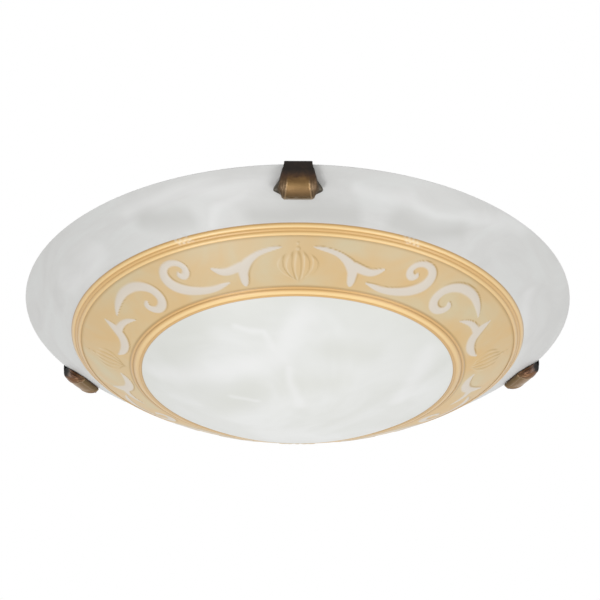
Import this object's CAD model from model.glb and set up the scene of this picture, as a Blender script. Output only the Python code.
import math

import bmesh
import bpy
import numpy as np
from mathutils import Matrix, Vector


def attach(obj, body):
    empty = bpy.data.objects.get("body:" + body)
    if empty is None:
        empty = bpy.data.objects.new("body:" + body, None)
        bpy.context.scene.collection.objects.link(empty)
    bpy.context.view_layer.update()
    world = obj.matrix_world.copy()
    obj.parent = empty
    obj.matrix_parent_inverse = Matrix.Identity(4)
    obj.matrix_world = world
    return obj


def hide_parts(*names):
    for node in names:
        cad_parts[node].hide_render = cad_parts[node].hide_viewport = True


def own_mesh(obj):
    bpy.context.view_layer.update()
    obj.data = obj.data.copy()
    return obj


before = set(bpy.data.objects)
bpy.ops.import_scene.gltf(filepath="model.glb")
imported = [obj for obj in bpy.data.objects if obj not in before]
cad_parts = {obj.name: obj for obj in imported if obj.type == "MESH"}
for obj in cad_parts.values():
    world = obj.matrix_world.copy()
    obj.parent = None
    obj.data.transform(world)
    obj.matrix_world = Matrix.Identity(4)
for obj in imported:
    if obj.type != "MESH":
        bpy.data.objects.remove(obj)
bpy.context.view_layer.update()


# Camera: two metres off, below and in front of the lamp, as a person under the ceiling sees it.
# The plane of the bowl's rim lies 7 mm under the ceiling, and its centre sits a little off the middle.
rim_plane_z = -0.007
camera_pitch = math.radians(29.16)
camera_reach = 2.0
picture_px = 600
focal_px = 2709.5
rim_centre_px = (297.71, 308.18)
camera_roll = math.radians(0.24)

camera_data = bpy.data.cameras.new("viewer")
camera_data.sensor_width = 36.0
camera_data.lens = camera_data.sensor_width * focal_px / picture_px
camera = bpy.data.objects.new("viewer", camera_data)
bpy.context.scene.collection.objects.link(camera)
bpy.context.scene.camera = camera
line_of_sight = Vector((0, math.cos(camera_pitch), math.sin(camera_pitch)))
camera.location = Vector((0, 0, rim_plane_z)) - camera_reach * line_of_sight
level = (-line_of_sight).to_track_quat("Z", "Y").to_matrix()
off_x = math.atan((rim_centre_px[0] - picture_px / 2) / focal_px)
off_y = math.atan((rim_centre_px[1] - picture_px / 2) / focal_px)
turn = Matrix.Rotation(off_x, 3, "Y") @ Matrix.Rotation(off_y, 3, "X")
camera.rotation_mode = "QUATERNION"
camera.rotation_quaternion = (level @ turn @ Matrix.Rotation(camera_roll, 3, "Z")).to_quaternion()


# Studio: a pale floor far below, a white surround, and large soft lamps below and beside the light.
# Lamps and surround are set so that a colour shows about as it is written.
def linear(*levels):
    return tuple(((c / 255 + 0.055) / 1.055) ** 2.4 if c > 10 else c / 255 / 12.92 for c in levels)


def new_material(name):
    material = bpy.data.materials.new(name)
    material.use_nodes = True
    tree = material.node_tree
    shader = next(n for n in tree.nodes if n.type == "BSDF_PRINCIPLED")
    return material, tree, shader


def put_in(tree, socket, value):
    if isinstance(value, bpy.types.NodeSocket):
        tree.links.new(value, socket)
    else:
        socket.default_value = value


def part(tree, kind, props=(), **values):
    """The outputs of a new node, with its settings, and its inputs linked or set by name."""
    made = tree.nodes.new(kind)
    for key, value in dict(props).items():
        setattr(made, key, value)
    for key, value in values.items():
        for one in value if isinstance(value, list) else [value]:
            put_in(tree, made.inputs[key.replace("_", " ")], one)
    return made.outputs


def number_math(tree, operation, *values):
    made = tree.nodes.new("ShaderNodeMath")
    made.operation = operation
    for socket, value in zip(made.inputs, values):
        put_in(tree, socket, value)
    return made.outputs[0]


bpy.context.scene.view_settings.view_transform = "Standard"
floor_r, floor_z, floor_sides, floor_glow = 17, -6, 96, 0.42
floor_turns = [2 * math.pi * k / floor_sides for k in range(floor_sides)]
floor_mesh = bpy.data.meshes.new("studio_floor")
floor_mesh.from_pydata([(floor_r * math.cos(a), floor_r * math.sin(a), floor_z) for a in floor_turns], [],
                       [tuple(range(floor_sides))])
floor = bpy.data.objects.new("studio_floor", floor_mesh)
bpy.context.scene.collection.objects.link(floor)
floor_paint, tree, shader = new_material("floor_paint")
shader.inputs["Base Color"].default_value = (0.8, 0.8, 0.8, 1)
shader.inputs["Roughness"].default_value = 0.9
shader.inputs["Emission Color"].default_value = (1, 1, 1, 1)
to_camera = part(tree, "ShaderNodeLightPath")["Is Camera Ray"]
tree.links.new(number_math(tree, "MULTIPLY", to_camera, floor_glow), shader.inputs["Emission Strength"])
floor_mesh.materials.append(floor_paint)

world = bpy.data.worlds.new("studio")
bpy.context.scene.world = world
world.use_nodes = True
air = world.node_tree
air.nodes.clear()
seen = part(air, "ShaderNodeLightPath")
shown = number_math(air, "MAXIMUM", seen["Is Camera Ray"], seen["Is Glossy Ray"])
shown = number_math(air, "MAXIMUM", shown, seen["Is Transmission Ray"])
soft_air = part(air, "ShaderNodeBackground", Color=(1, 1, 1, 1), Strength=0.52)[0]
white_air = part(air, "ShaderNodeBackground", Color=(1, 1, 1, 1), Strength=1.0)[0]
air_mix = air.nodes.new("ShaderNodeMixShader")
for socket, value in zip(air_mix.inputs, (shown, soft_air, white_air)):
    put_in(air, socket, value)
part(air, "ShaderNodeOutputWorld", Surface=air_mix.outputs[0])


def soft_lamp(name, place, width, power):
    lamp_data = bpy.data.lights.new(name, "AREA")
    lamp_data.shape = "DISK"
    lamp_data.size = width
    lamp_data.energy = power
    lamp = bpy.data.objects.new(name, lamp_data)
    bpy.context.scene.collection.objects.link(lamp)
    lamp.location = place
    lamp.rotation_mode = "QUATERNION"
    bowl_middle = Vector((0, 0, -0.05))
    lamp.rotation_quaternion = (Vector(place) - bowl_middle).to_track_quat("Z", "Y")


soft_lamp("key_lamp", (-0.8, -0.35, -1.9), width=0.9, power=15)
soft_lamp("fill_lamp", (1.1, -0.35, -1.7), width=1.4, power=13)


# Ceiling pan: a disc of 1 mm steel pressed with a skirt, a dished seat for the cable and two screw slots.
# It is stove enamelled white on both sides, and screwed to the ceiling through the slots.
def object_place(tree):
    return part(tree, "ShaderNodeTexCoord")["Object"]


def attribute(tree, name):
    return part(tree, "ShaderNodeAttribute", {"attribute_name": name})["Fac"]


def noise(tree, coords, scale, detail=3.0, distortion=0.0, roughness=0.5):
    return part(tree, "ShaderNodeTexNoise", Vector=coords, Scale=scale, Detail=detail, Distortion=distortion,
                Roughness=roughness)["Fac"]


def ramp(tree, value, *stops):
    """Blends between stops: each is a place, then a plain number or the red, green and blue levels."""
    made = tree.nodes.new("ShaderNodeValToRGB")
    band = made.color_ramp
    while len(band.elements) < len(stops):
        band.elements.new(0.5)
    for element, (place, *tone) in zip(band.elements, stops):
        element.position = place
        element.color = (*(linear(*tone) if len(tone) == 3 else 3 * tone), 1)
    tree.links.new(value, made.inputs["Fac"])
    return made.outputs["Color"]


def mix_colour(tree, share, first, second):
    made = tree.nodes.new("ShaderNodeMix")
    made.data_type = "RGBA"
    tree.links.new(share, made.inputs[0])
    for value, socket in ((first, made.inputs[6]), (second, made.inputs[7])):
        put_in(tree, socket, (*linear(*value), 1) if isinstance(value, tuple) else value)
    return made.outputs[2]


def bump(tree, height, distance, shader):
    normal = part(tree, "ShaderNodeBump", Strength=1.0, Distance=distance, Height=height)["Normal"]
    tree.links.new(normal, shader.inputs["Normal"])


def mottled(name, grain, dark, light, rough, dents=None, between=(0.3, 0.7), drawn=None, **inputs):
    """A material that drifts between two tones. Grain and dents are noise settings, dents with a depth last.
    Rough is a number, or a noise's scale and detail with the two values that it drifts between."""
    material, tree, shader = new_material(name)
    place = object_place(tree)
    along = part(tree, "ShaderNodeMapping", Vector=place, Scale=drawn)[0] if drawn else place
    tones = ramp(tree, noise(tree, along, *grain), (between[0], *dark), (between[1], *light))
    tree.links.new(tones, shader.inputs["Base Color"])
    if isinstance(rough, tuple):
        scale, detail, smooth, dull = rough
        tree.links.new(ramp(tree, noise(tree, along, scale, detail), (0.3, smooth), (0.7, dull)),
                       shader.inputs["Roughness"])
    else:
        shader.inputs["Roughness"].default_value = rough
    for key, value in inputs.items():
        shader.inputs[key.replace("_", " ")].default_value = value
    if dents:
        bump(tree, noise(tree, place, *dents[:2]), dents[2], shader)
    return material


def finish_node(material, *names):
    for name in names:
        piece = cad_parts[name]
        if piece.material_slots:
            for slot in piece.material_slots:
                slot.material = material
        else:
            piece.data.materials.append(material)


enamel = mottled("white_stove_enamel", (14, 4), (224, 225, 221), (234, 235, 232), (60, 3, 0.3, 0.4),
                 (700, 1, 0.00006), between=(0.35, 0.65), IOR=1.5)
finish_node(enamel, "pan")


# Studs and nuts: M4 studs are welded under the pan, and zinc plated nuts draw the arms, the guide
# and the lampholder brackets up against it. Both are set out by Geometry Nodes.
def sizes_tree(name, sizes):
    made = bpy.data.node_groups.new(name, "GeometryNodeTree")
    made.interface.new_socket("Places", in_out="INPUT", socket_type="NodeSocketGeometry")
    for key, value in sizes.items():
        made.interface.new_socket(key, in_out="INPUT", socket_type="NodeSocketFloat").default_value = value
    made.interface.new_socket("Finish", in_out="INPUT", socket_type="NodeSocketMaterial")
    made.interface.new_socket("Pieces", in_out="OUTPUT", socket_type="NodeSocketGeometry")
    return made, made.nodes.new("NodeGroupInput").outputs, made.nodes.new("NodeGroupOutput").inputs


def scaled(tree, value, by, plus=0.0):
    return number_math(tree, "MULTIPLY_ADD", value, by, plus)


def upright(tree, value):
    return part(tree, "ShaderNodeCombineXYZ", Z=value)[0]


def shifted(tree, shape, up):
    return part(tree, "GeometryNodeTransform", Geometry=shape, Translation=upright(tree, up))[0]


def cylinder(tree, sides, radius, depth):
    return part(tree, "GeometryNodeMeshCylinder", {"fill_type": "NGON"}, Vertices=sides, Radius=radius,
                Depth=depth)["Mesh"]


def set_out(tree, start, end, shape):
    copies = part(tree, "GeometryNodeInstanceOnPoints", Points=start["Places"], Instance=shape)[0]
    real = part(tree, "GeometryNodeRealizeInstances", Geometry=copies)[0]
    coated = part(tree, "GeometryNodeSetMaterial", Geometry=real, Material=start["Finish"])[0]
    tree.links.new(coated, end["Pieces"])


def made_mesh(name, points, faces, material, sharp=40):
    mesh = bpy.data.meshes.new(name)
    mesh.from_pydata([tuple(float(c) for c in p) for p in points], [], faces)
    mesh.update()
    if material:
        mesh.materials.append(material)
    piece = bpy.data.objects.new(name, mesh)
    bpy.context.scene.collection.objects.link(piece)
    if len(faces):
        outward(mesh, sharp)
    return piece


def marked(mesh, name, values):
    mesh.attributes.new(name, "FLOAT", "POINT").data.foreach_set("value", np.array(values, np.float32))


def outward(mesh, sharp):
    work = bmesh.new()
    work.from_mesh(mesh)
    bmesh.ops.remove_doubles(work, verts=work.verts, dist=1e-7)
    bmesh.ops.recalc_face_normals(work, faces=work.faces)
    work.to_mesh(mesh)
    work.free()
    mesh.shade_smooth()
    mesh.set_sharp_from_angle(angle=math.radians(sharp))


def grown(name, places, tree, material, sharp=40):
    piece = made_mesh(name, places, [], None)
    growth = piece.modifiers.new("growth", "NODES")
    growth.node_group = tree
    for socket in tree.interface.items_tree:
        if socket.in_out == "INPUT" and socket.name == "Finish":
            growth[socket.identifier] = material
    settled = bpy.context.evaluated_depsgraph_get()
    result = bpy.data.meshes.new_from_object(piece.evaluated_get(settled))
    piece.modifiers.remove(growth)
    piece.data = result
    result.name = name
    result.shade_smooth()
    result.set_sharp_from_angle(angle=math.radians(sharp))
    return piece


def around(angle, r, across, z):
    """A place in metres from an angle about the lamp's axis and mm out, across and up."""
    a = math.radians(angle)
    x, y = r * math.cos(a) - across * math.sin(a), r * math.sin(a) + across * math.cos(a)
    return 0.001 * x, 0.001 * y, 0.001 * z


zinc = mottled("bright_zinc_plate", (260, 4, 0.6), (168, 172, 178), (206, 207, 206), (420, 3, 0.24, 0.42),
               (1800, 2, 0.00002), Metallic=0.92)

front, left, right = -90.0, 150.0, 26.5
pan_t, arm_t, guide_t, bracket_t = 1.0, 1.2, 1.0, 1.5
holder_x, holder_y, holder_z = -88, -38, -37
arm_studs = [around(a, r, 0, 0) for a in (left, right) for r in (122, 134)]
guide_studs = [around(front, r, s * 16.5, 0) for r in (107.8, 125) for s in (-1, 1)]
foot_studs = [around(turned_by, holder_x + 9, holder_y + s * 7, 0) for turned_by in (0, 180) for s in (-1, 1)]

tree, start, end = sizes_tree("threaded_stud", {"Radius": 0.002, "Length": 0.0065})
root = scaled(tree, start["Radius"], 1, -0.0003)
path = part(tree, "GeometryNodeCurveSpiral", Resolution=20, Rotations=9.0, Start_Radius=root, End_Radius=root,
            Height=scaled(tree, start["Length"], 0.92))["Curve"]
tooth = part(tree, "GeometryNodeCurvePrimitiveCircle", {"mode": "RADIUS"}, Resolution=4,
             Radius=0.0003)["Curve"]
thread = part(tree, "GeometryNodeCurveToMesh", Curve=path, Profile_Curve=tooth, Fill_Caps=True)["Mesh"]
low_thread = shifted(tree, thread, scaled(tree, start["Length"], -0.46))
core = cylinder(tree, 20, root, start["Length"])
whole = part(tree, "GeometryNodeJoinGeometry", Geometry=[core, low_thread])[0]
set_out(tree, start, end, shifted(tree, whole, scaled(tree, start["Length"], -0.5, -0.001 * pan_t)))
studs = grown("welded_studs", arm_studs + guide_studs + foot_studs, tree, zinc, 30)
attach(studs, "frame")
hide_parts("pan_studs")

tree, start, end = sizes_tree("hexagon_nut", {"Across flats": 0.007, "Height": 0.0032, "Bore": 0.00205})
block = cylinder(tree, 6, scaled(tree, start["Across flats"], 0.5 / math.cos(math.pi / 6)), start["Height"])
ball = part(tree, "GeometryNodeMeshUVSphere", Segments=36, Rings=24,
            Radius=scaled(tree, start["Across flats"], 0.566))["Mesh"]
eased = part(tree, "GeometryNodeMeshBoolean", {"operation": "INTERSECT"}, Mesh_2=[block, ball])["Mesh"]
drill = cylinder(tree, 20, start["Bore"], 0.01)
bored = part(tree, "GeometryNodeMeshBoolean", {"operation": "DIFFERENCE"}, Mesh_1=eased,
             Mesh_2=[drill])["Mesh"]
set_out(tree, start, end, shifted(tree, bored, scaled(tree, start["Height"], -0.5)))
nut_places = [(x, y, -0.001 * (pan_t + sheet)) for group, sheet in
              ((arm_studs, arm_t), (guide_studs, guide_t), (foot_studs, bracket_t)) for x, y, z in group]
nuts = grown("hexagon_nuts", nut_places, tree, zinc, 30)
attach(nuts, "frame")
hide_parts("stud_nuts")


# Cable grommet: a black rubber ring moulded with a groove, pressed into the hole in the pan's dished seat.
def turned(name, outline, material, spin=64, place=Matrix(), change=None, sharp=35, axis="X"):
    """A solid turned on an axis from a closed outline of (radius, length) in mm."""
    points, rows = [], []
    for r, x in outline:
        if r < 1e-6:
            rows.append([len(points)])
            points.append((x, 0.0, 0.0))
            continue
        row = []
        for k in range(spin):
            a = 2 * math.pi * k / spin
            r_here = change(r, x, a) if change else r
            row.append(len(points))
            points.append((x, r_here * math.cos(a), r_here * math.sin(a)))
        rows.append(row)
    faces = []
    for i, low in enumerate(rows):
        high = rows[(i + 1) % len(rows)]
        if len(low) == 1 and len(high) == 1:
            continue
        for k in range(spin):
            m = (k + 1) % spin
            if len(low) == 1:
                faces.append((low[0], high[k], high[m]))
            elif len(high) == 1:
                faces.append((low[k], high[0], low[m]))
            else:
                faces.append((low[k], high[k], high[m], low[m]))
    if axis == "Z":
        points = [(y, z, x) for x, y, z in points]
    placed = [place @ (0.001 * Vector(p)) for p in points]
    return made_mesh(name, placed, faces, material, sharp)


rubber = mottled("black_grommet_rubber", (300, 3), (34, 34, 35), (52, 52, 52), 0.68, (1500, 2, 0.00004))
grommet = turned("cable_grommet_ring", [
    (4.9, -1.3), (5.6, -1.02), (9.6, -1.02), (10.2, -1.35), (10.45, -1.9), (10.45, -2.5), (7.95, -2.5),
    (7.95, -3.5), (10.45, -3.5), (10.45, -4.2), (10.1, -4.8), (9.4, -5.08), (5.6, -5.08), (4.9, -4.8),
    (4.55, -4.2), (4.55, -1.9)],
    rubber, 64, axis="Z", sharp=50)
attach(grommet, "frame")
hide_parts("cable_grommet")


# Terminal block: a moulded strip of three poles screwed under the pan, a brass tube and two screws in each.
# The earth tag is tinned brass under a green painted screw.
nylon = mottled("block_nylon", (90, 3), (226, 225, 216), (238, 237, 230), 0.45, (1300, 2, 0.00003))
finish_node(nylon, "terminal_block")

brass = mottled("turned_brass", (200, 4, 0.4), (196, 158, 88), (224, 190, 122), (500, 3, 0.22, 0.38),
                (1600, 2, 0.00002), Metallic=1.0)
finish_node(brass, "terminal_tubes", "earth_tag")

tree, start, end = sizes_tree("slotted_screw", {"Radius": 0.0014, "Length": 0.0043, "Slot": 0.0005})
body = cylinder(tree, 28, start["Radius"], start["Length"])
blade_size = part(tree, "ShaderNodeCombineXYZ", X=start["Slot"], Y=0.004, Z=0.0012)[0]
blade = part(tree, "GeometryNodeMeshCube", Size=blade_size)["Mesh"]
low_blade = shifted(tree, blade, scaled(tree, start["Length"], -0.5))
cut = part(tree, "GeometryNodeMeshBoolean", {"operation": "DIFFERENCE"}, Mesh_1=body,
           Mesh_2=[low_blade])["Mesh"]
set_out(tree, start, end, cut)
screw_low, screw_high = -11.4, -7.1
screws = grown("clamp_screws", [(0.001 * x, 0.001 * (88 + s * 3), 0.0005 * (screw_low + screw_high))
                                for x in (-9, 0, 9) for s in (-1, 1)], tree, zinc, 30)
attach(screws, "frame")
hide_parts("terminal_screws")
finish_node(zinc, "block_screw")

green_paint = mottled("green_screw_paint", (500, 3), (28, 104, 56), (52, 140, 78), 0.4, (1600, 2, 0.00003),
                      Metallic=0.3)
finish_node(green_paint, "earth_screw")


# Lampholders: a moulded base cup and a fluted skirt in ivory thermoset, with a porcelain insulator,
# a rolled brass thread shell and a sprung contact. A hollow brass nipple and a flat nut hold each
# to its folded steel bracket, and the two stand head to foot.
def lamp_place(side):
    """Where a holder's own axis starts, in metres. Holder b is holder a turned half round under the pan."""
    seat = Matrix.Translation((0.001 * holder_x, 0.001 * holder_y, 0.001 * holder_z))
    return seat if side == "a" else Matrix.Rotation(math.pi, 4, "Z") @ seat


def helix(pitch, low, high, first, last):
    def change(r, x, a):
        if not first < x < last:
            return r
        wave = 0.5 + 0.5 * math.cos(2 * math.pi * (x / pitch) - a)
        return r + (low + (high - low) * wave)
    return change


ivory = mottled("ivory_thermoset", (70, 4, 0.5), (226, 217, 192), (240, 233, 212), (140, 3, 0.28, 0.4),
                (900, 2, 0.00003))
porcelain = mottled("glazed_porcelain", (80, 4), (232, 230, 222), (244, 242, 236), 0.2, (600, 2, 0.00003))
thread_pitch, flutes = 3.6, 36
for side in ("a", "b"):
    spot = lamp_place(side)
    base = turned(f"lampholder_{side}_cup", [
        (5.1, 0.05), (17.2, 0.05), (18.0, 0.35), (18.7, 1.1), (19.0, 2.0), (19.0, 17.95), (18.1, 17.95),
        (18.0, 17.8), (18.0, 4.1), (5.1, 4.1)], ivory, 96, spot)
    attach(base, "frame")
    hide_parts(f"holder_{side}_base")
    skirt = turned(f"lampholder_{side}_skirt", [
        (19.06, 10.05), (19.75, 10.05), (20.0, 10.4), (20.0, 13.0), (20.0, 13.4), (20.0, 40.6), (20.0, 41.0),
        (20.0, 44.6), (19.6, 45.5), (19.0, 45.95), (16.4, 45.95), (16.05, 45.6), (16.05, 44.3),
        (16.4, 44.05), (18.0, 44.05), (18.0, 18.1), (19.06, 18.1)], ivory, 144, spot,
        lambda r, x, a: r - (0.4 * (0.5 + 0.5 * math.cos(flutes * a)) if r > 19.9 and 13.2 < x < 40.8 else 0))
    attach(skirt, "frame")
    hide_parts(f"holder_{side}_skirt")
    wall_in = [(13.25, 15.05 + 0.45 * k) for k in range(48)]
    shell = turned(f"lampholder_{side}_thread", wall_in + [(r + 0.4, x) for r, x in reversed(wall_in)], brass,
                   72, spot, helix(thread_pitch, 0.0, 0.6, 15.2, 36.1), 60)
    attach(shell, "frame")
    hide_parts(f"holder_{side}_thread_shell")
    finish_node(porcelain, f"holder_{side}_insulator")
    finish_node(brass, f"holder_{side}_contact", f"holder_{side}_nipple")
    finish_node(zinc, f"holder_{side}_nipple_nut", f"holder_{side}_bracket")


# Bulbs: a pearl glass envelope in a rolled alloy screw cap, with a black glass insulator and a solder tip.
# Each screws into its lampholder by its cap.
pearl = mottled("pearl_bulb_glass", (24, 3, 0.5), (234, 234, 230), (246, 246, 243), 0.28, (1200, 1, 0.00002),
                IOR=1.5, Coat_Weight=0.4, Coat_Roughness=0.12)
alloy = mottled("rolled_cap_alloy", (240, 4, 0.4), (176, 176, 174), (208, 207, 203), (460, 3, 0.24, 0.4),
                Metallic=1.0)
vitrite = mottled("black_cap_glass", (200, 2), (14, 14, 17), (26, 25, 30), 0.12)
solder = mottled("solder_tip", (420, 3), (132, 132, 134), (170, 170, 170), 0.42, (900, 2, 0.00006),
                 Metallic=0.9)

bulb_r, neck_r, neck_x, bulb_mid = 29.0, 11.7, 45.0, 93.1
neck_run = [(neck_r + (bulb_r - neck_r) * (1 - math.cos(math.pi * t)) / 2, neck_x + (bulb_mid - neck_x) * t)
            for t in np.linspace(0, 1, 30)]
crown = [(bulb_r * math.cos(a), bulb_mid + bulb_r * math.sin(a))
         for a in np.linspace(0, math.pi / 2, 22)[1:-1]]
skin_out = [(neck_r, 41.0)] + neck_run + crown + [(0.0, bulb_mid + bulb_r)]
glass_t = 1.0
skin_in = [(max(r - glass_t, 0.0), x - (glass_t if r < 1e-6 else 0.6 * max(0.0, (x - bulb_mid) / bulb_r)))
           for r, x in skin_out]
for side in ("a", "b"):
    spot = lamp_place(side)
    envelope = turned(f"bulb_{side}_envelope", skin_out + skin_in[::-1], pearl, 96, spot, sharp=60)
    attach(envelope, f"bulb_{side}")
    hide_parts(f"bulb_{side}_glass")
    cap_run = [(12.3, 22.2 + 0.45 * k) for k in range(48)]
    cap = turned(f"bulb_{side}_screw_cap", [(9.0, 20.7), (11.2, 21.0), (12.1, 21.6)] + cap_run
                 + [(12.3, 44.2), (12.3, 44.65), (11.75, 44.65), (11.75, 22.4), (9.0, 21.75)], alloy,
                 72, spot, helix(thread_pitch, 0.0, 0.78, 22.4, 43.6), 60)
    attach(cap, f"bulb_{side}")
    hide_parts(f"bulb_{side}_cap")
    finish_node(vitrite, f"bulb_{side}_cap_insulator")
    finish_node(solder, f"bulb_{side}_tip")


# Wires: brown and blue leads from the block to each lampholder, and a short green and yellow one to the
# earth tag. Only their soft sleeves are made, laid loosely against the pan.
def tube(line, radius, sides):
    """Points and faces of a closed round tube along a line, both in mm."""
    line = np.array(line, float)
    along = np.gradient(line, axis=0)
    along /= np.linalg.norm(along, axis=1)[:, None]
    across = np.cross(along[0], (0.02, 0.01, 1.0))
    points, faces = [], []
    for i, (c, t) in enumerate(zip(line, along)):
        across = across - t * np.dot(across, t)
        across /= np.linalg.norm(across)
        other = np.cross(t, across)
        for k in range(sides):
            a = 2 * math.pi * k / sides
            points.append(c + radius * (math.cos(a) * across + math.sin(a) * other))
        if i:
            s = (i - 1) * sides
            faces += [(s + k, s + (k + 1) % sides, s + sides + (k + 1) % sides, s + sides + k)
                      for k in range(sides)]
    last = (len(line) - 1) * sides
    faces += [tuple(range(sides)), tuple(range(last, last + sides))[::-1]]
    return points, faces


def smooth_line(points, step=10):
    p = np.array(points, float)
    ends = np.concatenate([p[:1], p, p[-1:]])
    t = (np.arange(step) / step)[:, None]
    parts = []
    for i in range(len(p) - 1):
        a, b, c, d = ends[i:i + 4]
        parts.append(0.5 * (2 * b + (c - a) * t + (2 * a - 5 * b + 4 * c - d) * t ** 2
                            + (3 * b - a - 3 * c + d) * t ** 3))
    return np.concatenate(parts + [p[-1:]])


brown = mottled("brown_sleeve", (160, 3), (92, 54, 34), (116, 70, 44), 0.42, (1400, 2, 0.00002))
blue = mottled("blue_sleeve", (160, 3), (36, 92, 158), (56, 118, 186), 0.42, (1400, 2, 0.00002))
wire_r, wire_by, pole_out_y, pole_z = 1.1, 1.24, 94.02, -6.5
nipple_x, nipple_y = 90.5, 38.0


def lead(pole_x, rise, end, by, *bends):
    """A wire in mm: out of a pole of the block, over its bends and into the nipple at one end of the pan."""
    start = [(pole_x, pole_out_y, pole_z), (pole_x, pole_out_y + rise, pole_z)]
    finish = [(end * (nipple_x + out), end * nipple_y + by, z) for out, z in ((14, -36), (6, -37), (0, -37))]
    return tube(smooth_line([*start, *bends, *finish], 8), wire_r, 14)


leads = {
    "a": (lead(-9 - wire_by, 4, -1, wire_by, (-11.24, 102.02, -7.1), (-15.24, 107.02, -9.5), (-30, 112, -9.5),
               (-62, 100, -9.5), (-92, 74, -9.5), (-112, 40, -9.5), (-120, 8, -11.5), (-123, -18, -17.5),
               (-121, -33, -27)),
          lead(-wire_by, 4, -1, -wire_by, (-2.24, 102.02, -8), (-5.24, 108.02, -11.5), (-14, 117, -11.5),
               (-36, 115, -9.5), (-65, 103, -9.5), (-95, 77, -9.5), (-115, 41, -9.5), (-124, 8, -11.5),
               (-127, -20, -17.5), (-124, -38, -27))),
    "b": (lead(-9 + wire_by, 5, 1, wire_by, (-6.96, 105.02, -5.5), (-3, 114, -4.7), (8, 120, -5.5),
               (22, 118, -9.5), (54, 108, -9.5), (88, 82, -9.5), (112, 62, -9.5), (126, 48, -15.5),
               (126, 42, -27)),
          lead(wire_by, 4, 1, -wire_by, (2.24, 102.02, -7.1), (6.24, 107.02, -9.5), (20, 112, -9.5),
               (52, 104, -9.5), (85, 79, -9.5), (108, 59, -9.5), (121, 45, -15.5), (122, 37, -27))),
}
for side, ((live_points, live_faces), (other_points, other_faces)) in leads.items():
    shift = len(live_points)
    pair = made_mesh(f"lampholder_{side}_leads", 0.001 * np.array(live_points + other_points),
                     live_faces + [tuple(i + shift for i in f) for f in other_faces], brown, 60)
    pair.data.materials.append(blue)
    for face in pair.data.polygons:
        if face.index >= len(live_faces):
            face.material_index = 1
    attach(pair, "frame")
    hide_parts(f"lead_{side}_wires")

tag_x, tag_y, tag_z, pole_x, pole_y = 27, 71, -1.8 - 1.6 + 0.1, 9, 88
tag_turn = math.atan2(pole_y - 10 - tag_y - 2, pole_x - tag_x)
tag_way = np.array([math.cos(tag_turn), math.sin(tag_turn), 0.0])
tag_end = np.array([tag_x, tag_y, tag_z]) + 7 * tag_way
earth_sides, striped = 18, (4, 5, 6, 13, 14, 15)
earth_line = smooth_line([(pole_x, 81.98, pole_z), (pole_x, 76.98, pole_z), (10.5, 72.98, pole_z),
                          tag_end + 5 * tag_way + (0, 0, -0.2), tag_end + 3 * tag_way,
                          tag_end + 1.5 * tag_way, tag_end], 8)
earth_points, earth_faces = tube(earth_line, wire_r, earth_sides)
earth_sleeve, tree, shader = new_material("green_yellow_sleeve")
tree.links.new(mix_colour(tree, attribute(tree, "yellow_stripe"), (52, 132, 58), (228, 204, 44)),
               shader.inputs["Base Color"])
shader.inputs["Roughness"].default_value = 0.42
bump(tree, noise(tree, object_place(tree), 1400, 2), 0.00002, shader)
earth_lead = made_mesh("earth_lead", 0.001 * np.array(earth_points), earth_faces, earth_sleeve, 60)
marked(earth_lead.data, "yellow_stripe",
       [float(k % earth_sides in striped) for k in range(len(earth_points))])
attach(earth_lead, "frame")
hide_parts("earth_wire")


# Arms, guide and slide bar: joggled and folded strips of zinc plated steel. Two arms are nutted under the
# pan, and the bar slides in the guide against a spring, so that the front clip pulls out.
strip_zinc = mottled("rolled_zinc_strip", (220, 5, 0.3), (152, 156, 162), (196, 198, 198), (520, 3, 0.3, 0.5),
                     (1500, 2, 0.00002), drawn=(1.0, 0.12, 1.0), Metallic=0.9)
finish_node(strip_zinc, "left_arm", "right_arm", "front_guide", "front_slide_bar", "spring_rod", "rod_washer")

spring_steel = mottled("blued_spring_steel", (300, 4), (66, 68, 76), (104, 104, 108), 0.32, Metallic=1.0)
coil_turns, coil_steps, coil_r, coil_wire, rod_z = 13, 24, 3.4, 0.5, -8.6
coil_in, coil_out = 80 + 1.2 + 0.15 + coil_wire, 132 - 1 - 0.15 - coil_wire
coil_line = []
for i in range(coil_steps * coil_turns + 1):
    a = 2 * math.pi * i / coil_steps
    coil_line.append((coil_r * math.cos(a), -(coil_in + (coil_out - coil_in) * i / (coil_steps * coil_turns)),
                      rod_z + coil_r * math.sin(a)))
coil_points, coil_faces = tube(coil_line, coil_wire, 12)
coil = made_mesh("return_spring", 0.001 * np.array(coil_points), coil_faces, spring_steel, 60)
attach(coil, "front_clip")
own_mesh(coil)
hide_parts("clip_spring")

tree, start, end = sizes_tree("domed_rivet", {"Head radius": 0.0035, "Shank": 0.002, "Grip": 0.0026})
head = part(tree, "GeometryNodeMeshUVSphere", Segments=28, Rings=14, Radius=start["Head radius"])["Mesh"]
flat = part(tree, "GeometryNodeTransform", Geometry=head, Scale=(1, 1, 0.0010 / 0.0035))[0]
high = shifted(tree, flat, scaled(tree, start["Grip"], 0.5))
low = shifted(tree, flat, scaled(tree, start["Grip"], -0.5))
shank = cylinder(tree, 20, start["Shank"], start["Grip"])
set_out(tree, start, end, part(tree, "GeometryNodeJoinGeometry", Geometry=[high, low, shank])[0])
grip_z = -6.6 + 1.3
side_rivets = grown("side_lug_rivets", [around(a, r, 0, grip_z) for a in (left, right) for r in (158, 168)],
                    tree, zinc, 30)
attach(side_rivets, "frame")
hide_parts("side_clip_rivets")
front_rivets = grown("front_lug_rivets", [around(front, r, 0, grip_z) for r in (158, 168)], tree, zinc, 30)
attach(front_rivets, "front_clip")
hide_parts("front_clip_rivets")


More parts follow.
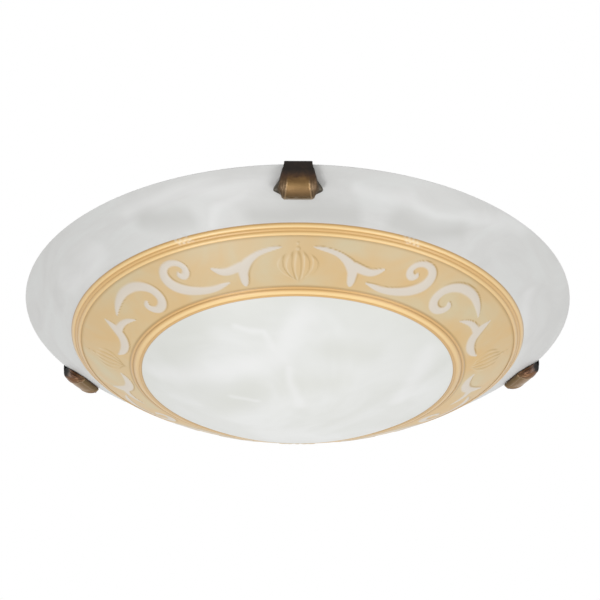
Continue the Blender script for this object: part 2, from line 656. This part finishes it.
# Glass bowl: one piece of pressed alabaster glass, about 6 mm thick, with a ground rim.
# Its scrolls, palmettes and reeded rings are pressed into the outer face, then stained amber and gilt.
rim_r, bowl_depth, glass_rise = 200.0, 87.4, 5.8
ring_r, ring_w, ring_drop = 165.3, 7.2, 25.7
dome_r, dome_drop, inner_ring_w = 113.4, 53.5, 8.2
flange_bow, band_bow, reed_h, rim_ease = 0.8, 2.6, 0.9, 0.8
inner_ring_r = dome_r + inner_ring_w


def bowed(p, q, bow, n):
    p, q = np.array(p), np.array(q)
    d = q - p
    chord = math.hypot(*d)
    out = np.array([-d[1], d[0]]) / chord
    radius = (chord * chord / 4 + bow * bow) / (2 * bow)
    centre = (p + q) / 2 - out * (radius - bow)
    half = math.asin(chord / 2 / radius)
    angles = half * (2 * np.arange(n + 1) / n - 1)
    return centre + radius * (np.cos(angles)[:, None] * out + np.sin(angles)[:, None] * d / chord)


dome_h = bowl_depth - dome_drop
dome_sphere = (dome_r ** 2 + dome_h ** 2) / (2 * dome_h)
dome_turn = np.arcsin(dome_r / dome_sphere) * (1 - np.arange(1, 65) / 64)
skin = np.concatenate([
    bowed([rim_r, -rim_ease], [ring_r, -ring_drop], flange_bow, 64),
    bowed([ring_r, -ring_drop], [dome_r, -dome_drop], band_bow, 64)[1:],
    np.stack([dome_sphere * np.sin(dome_turn), -bowl_depth + dome_sphere * (1 - np.cos(dome_turn))], 1),
])


def skin_z(r):
    return np.interp(r, skin[::-1, 0], skin[::-1, 1])


# The ornament is drawn in one quarter: angle from a palmette in degrees, radius in mm, half width in mm.
# Each stroke is a smooth curve through its points; the other quarters are its mirror images.
band_mid_r = 140.0
scrolls = [
    # leaf beside the front palmette: its curved stem, then its side branch
    [(4.4, 150.9, 0.5), (6.2, 150.2, 1.2), (8.6, 148.9, 1.5), (11.0, 147.0, 1.8), (13.2, 143.9, 2.5),
     (14.9, 140.4, 3.4), (16.0, 136.0, 3.5), (16.3, 131.8, 3.2), (16.5, 128.0, 2.6), (16.6, 125.6, 1.2)],
    [(16.0, 140.0, 3.2), (18.4, 138.6, 2.9), (20.6, 137.7, 2.7), (22.4, 138.4, 2.4), (24.0, 140.6, 1.5),
     (25.0, 142.3, 0.4)],
    # large scroll that curls inward
    [(21.4, 129.6, 0.7), (24.2, 128.2, 1.8), (27.2, 127.3, 2.4), (30.4, 128.0, 2.9), (33.8, 130.3, 3.4),
     (36.6, 133.8, 3.9), (38.6, 138.6, 4.0), (39.3, 143.8, 3.6), (38.9, 148.6, 2.9), (37.4, 152.0, 2.3),
     (35.2, 152.9, 2.0), (33.2, 151.0, 2.0), (32.2, 147.2, 2.2), (32.6, 143.8, 2.5), (33.8, 142.2, 2.4),
     (34.8, 143.6, 1.7), (34.7, 145.4, 0.8)],
    # second scroll, turned the other way
    [(64.2, 142.6, 0.5), (61.9, 145.2, 1.5), (59.2, 147.6, 2.2), (56.2, 149.6, 2.7), (53.2, 150.2, 3.0),
     (50.2, 149.4, 3.2), (47.6, 146.6, 3.3), (45.9, 142.4, 3.3), (45.3, 137.4, 3.4), (45.8, 132.8, 3.3),
     (47.4, 129.4, 3.1), (49.6, 128.4, 2.9), (51.3, 130.6, 2.8), (51.8, 134.2, 2.3), (50.8, 137.0, 1.2)],
    # leaf beside the side palmette: its stem, then its side branch
    [(83.6, 130.2, 0.6), (81.4, 128.2, 2.0), (78.6, 127.4, 2.7), (75.8, 128.2, 3.1), (73.2, 130.8, 3.4),
     (71.4, 134.6, 3.7), (70.2, 139.0, 3.3), (69.7, 143.0, 2.1), (69.4, 146.8, 0.5)],
    [(70.4, 136.2, 3.0), (67.4, 136.6, 2.3), (65.2, 136.2, 2.1), (63.2, 135.0, 1.8), (61.6, 133.3, 1.1),
     (60.5, 132.0, 0.4)],
]
# Palmette petals: angle at the foot, middle and top, then radius of the foot and the top, and half width.
petals = [(0.0, 0.0, 0.0, 126.6, 147.2, 2.3), (0.9, 2.5, 1.7, 127.4, 146.4, 2.1),
          (2.0, 4.9, 4.0, 128.8, 144.6, 2.0)]


def spread(angle, r):
    return np.stack([np.radians(angle) * band_mid_r, r], -1)


def quarter_of(theta):
    turn_on = np.abs((np.degrees(theta) + 90 + 180) % 360 - 180)
    return np.where(turn_on > 90, 180 - turn_on, turn_on)


def stroke_nearness(at, stroke):
    """Distance from the stroke's middle line, as a share of its half width."""
    line = smooth_line(stroke, 8)
    centre = spread(line[:, 0], line[:, 1])
    half = np.maximum(line[:, 2], 0.25)
    best = np.full(len(at), 9.0)
    for i in range(len(centre) - 1):
        a, b = centre[i], centre[i + 1]
        d = b - a
        t = np.clip(((at - a) @ d) / max(d @ d, 1e-9), 0, 1)
        gap = at - a - t[:, None] * d
        best = np.minimum(best, np.hypot(gap[:, 0], gap[:, 1]) / (half[i] + (half[i + 1] - half[i]) * t))
    return best


def petal_nearness(at, petal):
    foot_a, mid_a, top_a, foot_r, top_r, half = petal
    t = (at[:, 1] - foot_r) / (top_r - foot_r)
    bowed_a = foot_a * (1 - t) * (1 - 2 * t) + mid_a * 4 * t * (1 - t) + top_a * t * (2 * t - 1)
    best = np.full(len(at), 9.0)
    for centre_a in (0.0, 90.0):
        for mirrored in (1, -1):
            dx = (at[:, 0] - np.radians(centre_a + mirrored * bowed_a) * band_mid_r) / half
            best = np.minimum(best, np.sqrt(dx ** 2 + np.abs(2 * t - 1) ** 2.4))
    return best


def lit_side(field, theta, r):
    """How far a field's outline faces the photo's light (below 0, lower left) or away from it (above 0)."""
    step_a = theta[0, 1] - theta[0, 0]
    by_angle = (np.roll(field, -1, 1) - np.roll(field, 1, 1)) / (2 * step_a * r)
    by_radius = np.gradient(field, r[:, 0], axis=0)
    size = np.hypot(by_angle, by_radius) + 1e-6
    x = (by_radius * np.cos(theta) - by_angle * np.sin(theta)) / size
    y = (by_radius * np.sin(theta) + by_angle * np.cos(theta)) / size
    return 0.86 * x - 0.5 * y


def line_at(field, where, width):
    return np.exp(-((field - where) / width) ** 2)


def ornament(theta, r):
    """Relief in mm, bare glass, pooled stain and light edge for a grid of points on the band."""
    at = spread(quarter_of(theta), r).reshape(-1, 2)
    shape = theta.shape
    height, bare, pooled, light = (np.zeros(shape) for _ in range(4))
    near = np.full(shape, 9.0)
    for stroke in scrolls:
        near = np.minimum(near, stroke_nearness(at, stroke).reshape(shape))
    side = lit_side(near, theta, r)
    height = 0.4 * np.clip(1 - (near * 0.82) ** 2, 0, 1)
    bare = np.clip((1.2 - near) / 0.4, 0, 1)
    pooled = 0.9 * line_at(near, 1.2, 0.15) * np.clip(1.4 * side - 0.3, 0, 1)
    for petal in petals:
        near = petal_nearness(at, petal).reshape(shape)
        side = lit_side(near, theta, r)
        height = np.maximum(height, 0.45 * np.clip(1 - near ** 2, 0, 1) ** 0.6)
        pooled = np.maximum(pooled, 0.6 * line_at(near, 1.0, 0.2) * np.clip(1.1 * side, 0, 1))
        light = np.maximum(light, 0.55 * line_at(near, 0.86, 0.2) * np.clip(-side, 0, 1))
    for centre_a in (0.0, 90.0):
        for bead_r, half in ((149.3, 1.3), (152.9, 0.9)):
            bead = spread(centre_a, bead_r)
            away = (np.hypot(at[:, 0] - bead[0], at[:, 1] - bead[1]) / half).reshape(shape)
            side = lit_side(away, theta, r)
            height = np.maximum(height, 0.7 * np.clip(1 - away ** 2, 0, 1) ** 0.5)
            light = np.maximum(light, 0.5 * np.clip(1.2 - away, 0, 1))
            pooled = np.maximum(pooled, 0.6 * line_at(away, 1.15, 0.25) * np.clip(side, 0, 1))
    return height, bare, pooled, light


# Ties: four small bindings, each of four slanting strokes, are pressed over the outermost reeds.
def tie_mark(theta, r):
    mark = np.zeros(theta.shape)
    for middle in (-118.6, -61.4, 61.4, 118.6):
        off = (np.degrees(theta) - middle + 180) % 360 - 180
        x = np.radians(off) * 163.0
        for k in (-1.5, -0.5, 0.5, 1.5):
            start, stop = np.array([k * 3.0 - 1.3, 165.1]), np.array([k * 3.0 + 1.3, 162.1])
            d = stop - start
            t = np.clip(((x - start[0]) * d[0] + (r - start[1]) * d[1]) / (d @ d), 0, 1)
            gap = np.hypot(x - start[0] - t * d[0], r - start[1] - t * d[1])
            mark = np.maximum(mark, 0.8 * np.clip(1 - (gap / 0.75) ** 2, 0, 1))
    return mark


def rib(r, outer, inner):
    t = np.clip((outer - r) / (outer - inner), 0, 1)
    return np.sqrt(np.clip(1 - (2 * t - 1) ** 2, 0, 1))


def spaced(a, b, n):
    return list(np.linspace(a, b, n))


zones = [
    ("flange", spaced(rim_r, ring_r + 0.4, 14), 300),
    ("outer ring", spaced(ring_r, ring_r - ring_w, 25), 600),
    ("band", spaced(ring_r - ring_w - 0.3, inner_ring_r + 0.3, 47), 1200),
    ("inner ring", spaced(inner_ring_r, dome_r, 21), 600),
    ("dome", spaced(dome_r - 0.5, 3.0, 18), 300),
]
wanted = ("bare_glass", "gilding", "amber_stain", "pooled_stain", "light_edge", "reed_crest",
          "bright_gilding")
rings, glass_points, stores = [], [], {name: [] for name in wanted}
count = 0


def add_ring(r, z, a, **given):
    global count
    glass_points.append(np.stack([r * np.cos(a), r * np.sin(a), z], 1))
    for name in wanted:
        stores[name].append(np.broadcast_to(np.array(given.get(name, 0.0), float), (len(a),)))
    rings.append((count, len(a)))
    count += len(a)


for zone, radii, spin in zones:
    a = np.arange(spin) * 2 * math.pi / spin
    theta, r = np.meshgrid(a, np.array(radii))
    z = skin_z(r)
    given = {}
    # the gold is painted brighter on the near side, as the photo's light leaves it
    bright = np.clip(0.15 - 0.95 * np.sin(theta), 0, 1)
    if zone == "outer ring":
        crest = rib(r, ring_r, 162.7) + 0.62 * rib(r, 162.7, 160.7) + 0.95 * rib(r, 160.7, ring_r - ring_w)
        tie = tie_mark(theta, r)
        z = z - np.maximum(reed_h * crest, 1.15 * tie)
        given = {"gilding": np.ones(r.shape), "reed_crest": crest, "light_edge": tie,
                 "bright_gilding": bright}
    if zone == "inner ring":
        crest = 0.6 * rib(r, inner_ring_r, 119.8) + rib(r, 119.2, 114.9) + 0.55 * rib(r, 114.9, dome_r)
        z = z - reed_h * crest
        given = {"gilding": np.ones(r.shape), "reed_crest": crest, "bright_gilding": bright}
    if zone == "band":
        height, bare, pooled, light = ornament(theta, r)
        z = z - height
        edge = 0.6 * np.exp(-((r - (ring_r - ring_w - 0.3)) / 0.8) ** 2) \
            + 0.7 * np.exp(-((r - (inner_ring_r + 0.3)) / 0.7) ** 2)
        given = {"bare_glass": bare, "amber_stain": np.ones(r.shape),
                 "pooled_stain": np.maximum(pooled, edge), "light_edge": light}
    for i in range(len(radii)):
        add_ring(r[i], z[i], a, **{name: field[i] for name, field in given.items()})

outside_end = len(rings)
inner_angles = np.arange(150) * 2 * math.pi / 150
inner_wall = skin[(skin[:, 1] < -glass_rise - 0.4)][::-1]
for r, z in inner_wall[2::6]:
    if r > 3:
        add_ring(np.full(150, r), np.full(150, z + glass_rise), inner_angles)
rim_in_r = float(np.interp(glass_rise, -skin[:, 1], skin[:, 0]))
add_ring(np.full(150, rim_in_r), np.zeros(150), inner_angles)
outer_angles = np.arange(300) * 2 * math.pi / 300
add_ring(np.full(300, rim_r - rim_ease), np.zeros(300), outer_angles)
lowest, top_middle = count, count + 1
glass_points.append(np.array([[0, 0, -bowl_depth], [0, 0, -bowl_depth + glass_rise]]))
for name in wanted:
    stores[name].append(np.zeros(2))


def stitch(upper, lower):
    """Faces between two rings whose counts are equal or in a whole ratio."""
    (s0, n0), (s1, n1) = upper, lower
    faces = []
    if n0 == n1:
        return [(s0 + i, s0 + (i + 1) % n0, s1 + (i + 1) % n1, s1 + i) for i in range(n0)]
    flip = n0 < n1
    (fine, nf), (coarse, nc) = ((s1, n1), (s0, n0)) if flip else ((s0, n0), (s1, n1))
    k = nf // nc
    for j in range(nc):
        a, b = coarse + j, coarse + (j + 1) % nc
        for m in range(k):
            p, q = fine + (j * k + m) % nf, fine + (j * k + m + 1) % nf
            faces.append((p, q, a if m < (k + 1) // 2 else b))
            if m == (k + 1) // 2 - 1:
                faces.append((a, q, b))
    return [tuple(reversed(f)) for f in faces] if flip else faces


glass_faces = []
for i in range(len(rings) - 1):
    if i == outside_end - 1:
        s, n = rings[i]
        glass_faces += [(s + j, s + (j + 1) % n, lowest) for j in range(n)]
        s, n = rings[i + 1]
        glass_faces += [(top_middle, s + (j + 1) % n, s + j)[::-1] for j in range(n)]
    else:
        glass_faces += stitch(rings[i], rings[i + 1])
glass_faces += stitch(rings[-1], rings[0])
points = np.concatenate(glass_points) * 0.001
points[:, 2] += rim_plane_z
bowl_mesh = bpy.data.meshes.new("alabaster_bowl")
bowl_mesh.from_pydata(points.tolist(), [], glass_faces)
bowl_mesh.update()
for name, store in stores.items():
    marked(bowl_mesh, name, np.concatenate(store))
bowl = bpy.data.objects.new("alabaster_bowl", bowl_mesh)
bpy.context.scene.collection.objects.link(bowl)
outward(bowl_mesh, 50)


def vector_math(tree, operation, *values):
    made = tree.nodes.new("ShaderNodeVectorMath")
    made.operation = operation
    for socket, value in zip(made.inputs, values):
        put_in(tree, socket, value)
    return made.outputs["Value" if operation in ("LENGTH", "DISTANCE", "DOT_PRODUCT") else "Vector"]


def share_of(tree, value, low, high):
    """Rises evenly from 0 to 1 between two values."""
    return part(tree, "ShaderNodeMapRange", Value=value, From_Min=low, From_Max=high)["Result"]


def streaks(tree, place, lines):
    """The strongest of several soft streaks, in mm: from x, y to x, y, then the half width at both."""
    found = None
    for line in lines:
        x, y, to_x, to_y, wide, narrow = (0.001 * v for v in line)
        way = Vector((to_x - x, to_y - y, 0))
        from_start = vector_math(tree, "SUBTRACT", place, (x, y, 0))
        along = share_of(tree, vector_math(tree, "DOT_PRODUCT", from_start, way / way.length_squared), 0, 1)
        nearest = part(tree, "ShaderNodeVectorMath", {"operation": "SCALE"}, Vector=way, Scale=along)[0]
        gap = vector_math(tree, "DISTANCE", from_start, nearest)
        width = number_math(tree, "MULTIPLY_ADD", along, narrow - wide, wide)
        close = number_math(tree, "SUBTRACT", 1.0, number_math(tree, "DIVIDE", gap, width))
        close = number_math(tree, "MAXIMUM", close, 0.0)
        eased = number_math(tree, "SUBTRACT", 3.0, number_math(tree, "MULTIPLY", close, 2.0))
        soft = number_math(tree, "MULTIPLY", number_math(tree, "MULTIPLY", close, close), eased)
        found = soft if found is None else number_math(tree, "MAXIMUM", found, soft)
    return found


def part_of(tree, value, strength):
    return number_math(tree, "MULTIPLY", value, strength)


alabaster, tree, shader = new_material("stained_alabaster_glass")
place = object_place(tree)
flat_place = vector_math(tree, "MULTIPLY", place, (1, 1, 0))
from_middle = vector_math(tree, "LENGTH", flat_place)
# clouds drawn out round the flange, where the gob was spun into the mould
round_way = vector_math(tree, "MULTIPLY_ADD", vector_math(tree, "NORMALIZE", flat_place), (1.5, 1.5, 0),
                        upright(tree, part_of(tree, from_middle, 34.0)))
flange_white = ramp(tree, noise(tree, round_way, 1.5, 4, 1.6, 0.55),
                    (0.34, 212, 212, 210), (0.5, 216, 216, 214), (0.66, 219, 220, 218))
# the dome is whiter, with soft patches
dome_white = ramp(tree, noise(tree, place, 15, 3, 0.9, 0.5),
                  (0.34, 226, 227, 223), (0.5, 230, 231, 228), (0.66, 235, 236, 234))
dome_edge = share_of(tree, from_middle, 0.088, 0.116)
dome_white = mix_colour(tree, part_of(tree, dome_edge, 0.45), dome_white, (226, 228, 222))
glass_white = mix_colour(tree, share_of(tree, from_middle, 0.118, 0.15), dome_white, flange_white)
# greyer patches of dome and flange, then their pale veins, bent a little by the drift of the glass
drift = part(tree, "ShaderNodeTexNoise", Vector=place, Scale=13, Detail=3)["Color"]
bent = vector_math(tree, "MULTIPLY_ADD", vector_math(tree, "SUBTRACT", drift, (0.5, 0.5, 0.5)),
                   (0.03, 0.03, 0), flat_place)
for strength, tone, lines in (
        (0.45, (219, 220, 213), (
            (-5, -35, 22, -34, 24, 22), (-30, -31, -52, 5, 20, 24), (-69, -72, -94, -49, 22, 20),
            (23, -70, 51, -61, 20, 18))),
        (0.8, (200, 200, 197), (
            (-102, -152, -74, -159, 14, 14), (-36, -169, 36, -169, 13, 13), (70, -162, 108, -141, 14, 12))),
        (0.4, (244, 244, 244), (
            (-14, -62, -60, -40, 13, 18), (-60, -40, -104, -14, 18, 16), (-14, -62, 6, -100, 12, 14),
            (-14, -62, -25, -83, 10, 4), (-10, -52, -1, -9, 5, 8), (-48, -13, -27, -13, 5, 4),
            (-25, -83, -44, -84, 4, 5), (95, -43, 72, 6, 14, 10))),
        (0.24, (244, 244, 244), (
            (-39, -189, -55, -172, 6, 5), (-55, -172, -56, -158, 5, 4), (-39, -189, -14, -195, 10, 8),
            (-39, -189, -74, -180, 11, 8), (-74, -180, -116, -155, 8, 12), (39, -185, 76, -173, 6, 8),
            (76, -173, 103, -155, 6, 3), (103, -155, 156, -121, 3, 11), (-165, -68, -142, -113, 14, 12),
            (155, 50, 165, -60, 13, 8), (60, 165, -40, 178, 12, 6)))):
    glass_white = mix_colour(tree, part_of(tree, streaks(tree, bent, lines), strength), glass_white, tone)
amber_tone = ramp(tree, noise(tree, place, 20, 3, 0.5),
                  (0.3, 220, 184, 127), (0.5, 218, 190, 143), (0.7, 213, 198, 162))
stained = mix_colour(tree, attribute(tree, "amber_stain"), glass_white, amber_tone)
stained = mix_colour(tree, attribute(tree, "bare_glass"), stained, (221, 211, 197))
stained = mix_colour(tree, attribute(tree, "light_edge"), stained, (232, 216, 184))
dull_gold = ramp(tree, attribute(tree, "reed_crest"),
                 (0.0, 184, 154, 112), (0.5, 208, 175, 128), (1.0, 220, 190, 144))
bright_gold = ramp(tree, attribute(tree, "reed_crest"),
                   (0.0, 192, 150, 90), (0.5, 226, 182, 118), (0.85, 247, 209, 145), (1.0, 255, 222, 162))
gold_tone = mix_colour(tree, attribute(tree, "bright_gilding"), dull_gold, bright_gold)
gold_tone = mix_colour(tree, part_of(tree, attribute(tree, "light_edge"), 0.8), gold_tone, (250, 234, 206))
painted = mix_colour(tree, attribute(tree, "gilding"), stained, gold_tone)
painted = mix_colour(tree, attribute(tree, "pooled_stain"), painted, (176, 142, 82))
tree.links.new(painted, shader.inputs["Base Color"])
tree.links.new(ramp(tree, attribute(tree, "gilding"), (0.0, 0.46), (1.0, 0.34)), shader.inputs["Roughness"])
shader.inputs["IOR"].default_value = 1.5
bowl_mesh.materials.append(alabaster)
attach(bowl, "bowl")
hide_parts("glass_bowl")


# Clips: cast and stamped bronze, bent over the rim to a hooked foot with a small ear at each side.
# The strap is left black, and the foot is rubbed back to brown and gold. A silicone pad is set in its back.
clip_rim, clip_gap, strap_t, leg_turn_r, leg_turn_to = 200.0, 0.4, 1.4, 14.8, 20.0
lug_in, lip_at, lip_t, ear_reach, pad_t = 152.0, 200 - 18.2, 1.0, 16.8, 1.0
leg_middle = clip_rim + clip_gap + strap_t - leg_turn_r
steep = math.hypot(200 - ring_r, ring_drop) / (200 - ring_r)
back_gap = 0.3 + pad_t / 2


def on_arc(cx, cz, r, first, last, n):
    turns = np.radians(np.linspace(first, last, n))
    return [(cx + r * math.cos(a), cz + r * math.sin(a)) for a in turns]


def under_glass(u):
    near_ring = np.clip((ring_r + 3.0 - u) / 1.5, 0, 1)
    return skin_z(u) - (back_gap + reed_h * near_ring) * steep


def strap_line(gap, r):
    """The strap's side view at a distance from the rim, from its inner end to the foot."""
    flat = [(u, gap) for u in np.linspace(lug_in, clip_rim, 16)]
    return flat + on_arc(clip_rim, 0, gap, 90, 0, 9)[1:] + on_arc(leg_middle, 0, r, 0, -leg_turn_to, 12)[1:]


strap_out = strap_line(clip_gap + strap_t, leg_turn_r)
strap_in = strap_line(clip_gap, leg_turn_r - strap_t)
foot_from = len(strap_out)
face_line = bowed(strap_out[-1], [lip_at, float(under_glass(lip_at)) - lip_t], 5.4, 44)[1:]
outer_line = np.array(strap_out + [tuple(p) for p in face_line])
back_u = np.linspace(strap_in[-1][0] - 0.2, lip_at, len(face_line))
back_z = np.minimum(under_glass(back_u), strap_out[-1][1] + (strap_out[-1][0] - back_u) * 0.667)
inner_line = np.array(strap_in + list(zip(back_u, back_z)))
out_way = np.gradient(outer_line, axis=0)
out_way = np.stack([-out_way[:, 1], out_way[:, 0]], 1)
out_way /= np.linalg.norm(out_way, axis=1)[:, None]
down_foot = np.clip((np.arange(len(outer_line)) - foot_from + 1) / len(face_line), 0, 1)
strap_half = 9.6 + 0.9 * np.clip(-outer_line[:, 1] / 5, 0, 1) ** 1.3
foot_half = np.interp(down_foot, [0, 0.2, 0.37, 0.5, 0.68, 0.9, 1], [10.5, 11.6, 12.7, 12.9, 12.3, 10.9, 9.9])
edge_half = np.where(down_foot > 0, foot_half, strap_half)
panel_half = np.interp(down_foot, [0, 0.3, 1], [6.6, 7.2, 9.1])


def held(share):
    return min(1.0, max(0.0, share))


def clip_relief(i, w):
    """Raised ridges beside a crowned panel that ends in a rolled lip, in mm."""
    f = down_foot[i]
    worn_edge = 0.3 * max(0.0, (abs(w) - edge_half[i] + 0.7) / 0.7) ** 2
    if f <= 0:
        return -worn_edge
    away = abs(w) - panel_half[i]
    ridge = 0.45 * math.exp(-((away - 0.45) / 0.45) ** 2) + 0.25 * math.exp(-((away - 2.2) / 0.45) ** 2)
    crown = 0.3 * (1 - (w / panel_half[i]) ** 2) if away < 0 else 0.0
    roll = 0.4 * held((f - 0.85) / 0.04) - 0.15 * math.exp(-((f - 0.84) / 0.02) ** 2)
    slope = -0.35 * max(0.0, away - 2.7)
    fading = held((f - 0.22) / 0.14) * (1.0 - 0.6 * max(0.0, (f - 0.85) / 0.15))
    return fading * (ridge + crown + slope) + roll - worn_edge


# how far out an ear has come, and how large the foot's side still is there
ear_steps = ((0.03, 0.92), (0.08, 0.78), (0.14, 0.64), (0.22, 0.54), (0.42, 0.42), (0.62, 0.31), (0.82, 0.2),
             (0.95, 0.11), (1.0, 0.04))
ear_tip = np.array([189.2, -14.5])


def clip_parts():
    points, faces, marks = [], [], []
    n, lateral = len(outer_line), np.linspace(-1, 1, 61)
    m = len(lateral)

    def keep(u, w, z, *mark):
        points.append((u, w, z))
        marks.append(mark)
        return len(points) - 1

    outer, inner = [], []
    for i in range(n):
        row = []
        for w in lateral * edge_half[i]:
            u, z = outer_line[i] + out_way[i] * clip_relief(i, w)
            away = abs(w) - panel_half[i]
            ridge = math.exp(-((away - 0.3) / 0.4) ** 2) + 0.35 * math.exp(-((away - 2.2) / 0.4) ** 2)
            ridge *= held((down_foot[i] - 0.26) / 0.12)
            on_panel = 1.0 if away < 0 else math.exp(-away / 0.5)
            row.append(keep(u, w, z, down_foot[i], min(1.0, ridge), on_panel, 0.0))
        outer.append(row)
    for i in range(n):
        u, z = inner_line[i]
        closed = 0.4 * steep * (down_foot[i] > 0)
        rims = [closed * max(held((lip_at + 0.9 - u) / 0.6), held((abs(t) - 0.66) / 0.12)) for t in lateral]
        inner.append([keep(u, t * (edge_half[i] - 0.12), z + rim, down_foot[i], 0, 0, 0)
                      for t, rim in zip(lateral, rims)])
    for i in range(n - 1):
        for j in range(m - 1):
            faces.append((outer[i][j], outer[i + 1][j], outer[i + 1][j + 1], outer[i][j + 1]))
            faces.append((inner[i][j], inner[i][j + 1], inner[i + 1][j + 1], inner[i + 1][j]))
    for j in range(m - 1):
        faces.append((outer[0][j], outer[0][j + 1], inner[0][j + 1], inner[0][j]))
        faces.append((outer[-1][j], inner[-1][j], inner[-1][j + 1], outer[-1][j + 1]))
    for end in (0, m - 1):
        for i in range(foot_from - 1):
            faces.append((outer[i][end], inner[i][end], inner[i + 1][end], outer[i + 1][end]))
    # the foot's side closes in quickly, and an ear stands out from its middle
    for end, sign in ((0, -1), (m - 1, 1)):
        down = range(foot_from - 1, n)
        last = [outer[i][end] for i in down] + [inner[i][end] for i in reversed(down)]
        base = np.array([[points[k][0], points[k][2]] for k in last])
        side_w = np.array([abs(points[k][1]) for k in last])
        depths = [marks[k][0] for k in last]
        for share, size in ear_steps:
            shape = ear_tip + (base - ear_tip) * size
            shape[:, 1] = np.minimum(shape[:, 1], skin_z(shape[:, 0]) - 0.5 * steep)
            reach = side_w + (ear_reach - side_w) * share
            ear = held((share - 0.12) / 0.2)
            row = [keep(u, sign * w, z, depth, 0.0, 0.0, ear)
                   for (u, z), w, depth in zip(shape, reach, depths)]
            for k in range(len(base)):
                q = (k + 1) % len(base)
                faces.append((last[k], last[q], row[q], row[k]))
            last = row
        faces.append(tuple(last))
    return np.array(points), faces, np.array(marks)


clip_points, clip_faces, clip_marks = clip_parts()

bronze, tree, shader = new_material("rubbed_bronze")
place = object_place(tree)
grime = noise(tree, place, 170, 5, 0.8, 0.6)
uneven = number_math(tree, "MULTIPLY", number_math(tree, "SUBTRACT", grime, 0.5), 0.22)
depth = number_math(tree, "ADD", attribute(tree, "depth"), uneven)
# down the foot, on the panel and beside it: first the front clip, then the side clips, whose own
# browns follow the photo's light on them
handled = ramp(tree, depth, (0.0, 33, 26, 21), (0.08, 54, 40, 30), (0.18, 84, 60, 40), (0.28, 128, 97, 58),
               (0.42, 146, 115, 71), (0.62, 146, 114, 74), (0.84, 100, 78, 46), (0.92, 150, 134, 112))
beside = ramp(tree, depth, (0.0, 33, 26, 21), (0.08, 50, 37, 29), (0.18, 76, 54, 40), (0.34, 98, 76, 52),
              (0.84, 90, 73, 52), (0.92, 136, 122, 104))
aged_face = ramp(tree, depth, (0.0, 10, 8, 6), (0.2, 40, 30, 22), (0.34, 150, 126, 98), (0.6, 158, 130, 98),
                 (0.86, 146, 118, 82), (1.0, 112, 92, 58))
aged_side = ramp(tree, depth, (0.0, 10, 8, 6), (0.16, 24, 18, 14), (0.3, 106, 74, 52), (0.6, 136, 98, 68),
                 (1.0, 118, 88, 62))
tone = mix_colour(tree, attribute(tree, "panel"), beside, handled)
aged = mix_colour(tree, attribute(tree, "panel"), aged_side, aged_face)
tone = mix_colour(tree, attribute(tree, "side"), tone, aged)
tone = mix_colour(tree, part_of(tree, attribute(tree, "ridge"), 0.5), tone, (204, 172, 132))
eared = mix_colour(tree, attribute(tree, "side"), (80, 74, 64), (122, 88, 66))
tone = mix_colour(tree, attribute(tree, "ear"), tone, eared)
tree.links.new(tone, shader.inputs["Base Color"])
tree.links.new(ramp(tree, grime, (0.3, 0.3), (0.7, 0.46)), shader.inputs["Roughness"])
shader.inputs["Metallic"].default_value = 0.6
bump(tree, noise(tree, place, 700, 4), 0.00008, shader)

silicone = mottled("clear_silicone", (200, 2), (208, 210, 208), (226, 228, 226), 0.35,
                   Transmission_Weight=0.3)
pad_mid, pad_l, pad_half = 200 - 9.1 - 3.5, 9.0, 7.5


def pad_shape():
    points, faces = [], []
    us, ws = np.linspace(-1, 1, 13), np.linspace(-1, 1, 19)
    for face_z in (0, 1):
        for u in us:
            for w in ws:
                edge = max(abs(u), abs(w)) ** 8
                r = pad_mid + u * pad_l / 2 * (1 - 0.03 * edge)
                gap = 0.36 + 0.3 * edge if face_z else 1.28 - 0.3 * edge
                points.append((r, w * pad_half * (1 - 0.03 * edge), float(skin_z(r)) - gap * steep))
    a, b = len(us), len(ws)
    for i in range(a - 1):
        for j in range(b - 1):
            k = i * b + j
            faces.append((k, k + 1, k + b + 1, k + b))
            faces.append(tuple(a * b + v for v in (k, k + b, k + b + 1, k + 1)))
    ring = [*range(b), *(i * b + b - 1 for i in range(1, a)),
            *((a - 1) * b + j for j in range(b - 2, -1, -1)),
            *(i * b for i in range(a - 2, 0, -1))]
    for p, q in zip(ring, ring[1:] + ring[:1]):
        faces.append((p, q, a * b + q, a * b + p))
    return np.array(points), faces


def at_clip(angle, points):
    """Clip points (out, across, up) in mm, turned to a clip's place on the rim, in metres."""
    a = math.radians(angle)
    out, across, up = points.T
    x, y = out * math.cos(a) - across * math.sin(a), out * math.sin(a) + across * math.cos(a)
    return 0.001 * np.stack([x, y, up + 1000 * rim_plane_z], 1)


pad_points, pad_faces = pad_shape()
for name, angle, body in (("front", front, "front_clip"), ("left", left, "frame"), ("right", right, "frame")):
    clip = made_mesh(f"{name}_bronze_clip", at_clip(angle, clip_points), clip_faces, bronze, 42)
    for key, values in zip(("depth", "ridge", "panel", "ear"), clip_marks.T):
        marked(clip.data, key, values)
    marked(clip.data, "side", np.full(len(clip_marks), float(name != "front")))
    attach(clip, body)
    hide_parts(f"{name}_clip")

front_pad = made_mesh("front_foot_pad", at_clip(front, pad_points), pad_faces, silicone, 60)
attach(front_pad, "front_clip")
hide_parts("front_clip_pad")
both = np.concatenate([at_clip(left, pad_points), at_clip(right, pad_points)])
side_faces = pad_faces + [tuple(v + len(pad_points) for v in f) for f in pad_faces]
side_pads = made_mesh("side_foot_pads", both, side_faces, silicone, 60)
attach(side_pads, "frame")
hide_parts("side_clip_pads")
